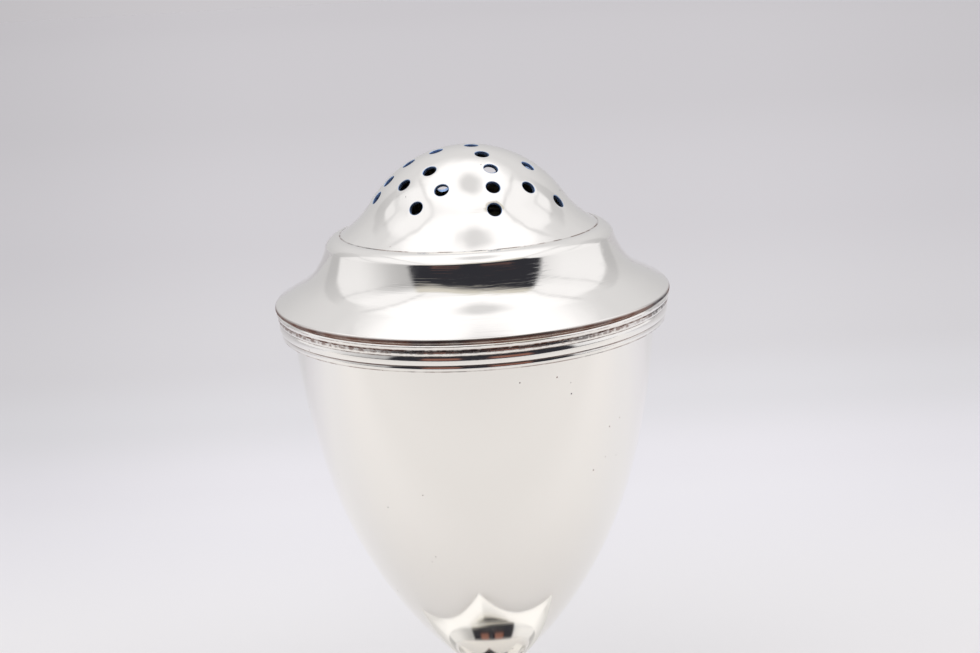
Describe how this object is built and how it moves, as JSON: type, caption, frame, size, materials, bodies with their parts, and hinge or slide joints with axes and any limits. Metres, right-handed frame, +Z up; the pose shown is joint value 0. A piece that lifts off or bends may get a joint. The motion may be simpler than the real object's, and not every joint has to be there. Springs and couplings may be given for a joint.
{
  "type": "pounce pot",
  "caption": "Egg-shaped silver pot on a flared foot and square plinth, with a pierced domed push-on cover for sprinkling drying powder over ink.",
  "frame": {"origin": "centre of the plinth's underside, on the surface that the pot stands on", "axes": "+Z up the pot's axis; +X and +Y along the plinth's sides; the picture looks from between -X and -Y, 34 degrees from -Y"},
  "size_m": [0.0486, 0.0486, 0.0821],
  "materials": {
    "polished_silver": "old hand-polished silver with fine scratches, small pits and brown tarnish in the grooves",
    "worn_silver": "silver rubbed dull by sliding in the mouth"
  },
  "bodies": {
    "pot": {"bowl": "polished_silver", "bowl_rim_wire": "polished_silver", "pedestal": "polished_silver", "plinth_plate": "polished_silver", "plinth_border": "polished_silver"},
    "cover": {"pierced_dome": "polished_silver", "cover_shoulder": "polished_silver", "cover_rim_wire": "polished_silver", "cover_bezel": "worn_silver"}
  },
  "joints": [
    {"name": "cover_lift", "type": "slide", "parent": "pot", "child": "cover", "axis": [0, 0, 1], "range_m": [0, 0.04]}
  ]
}
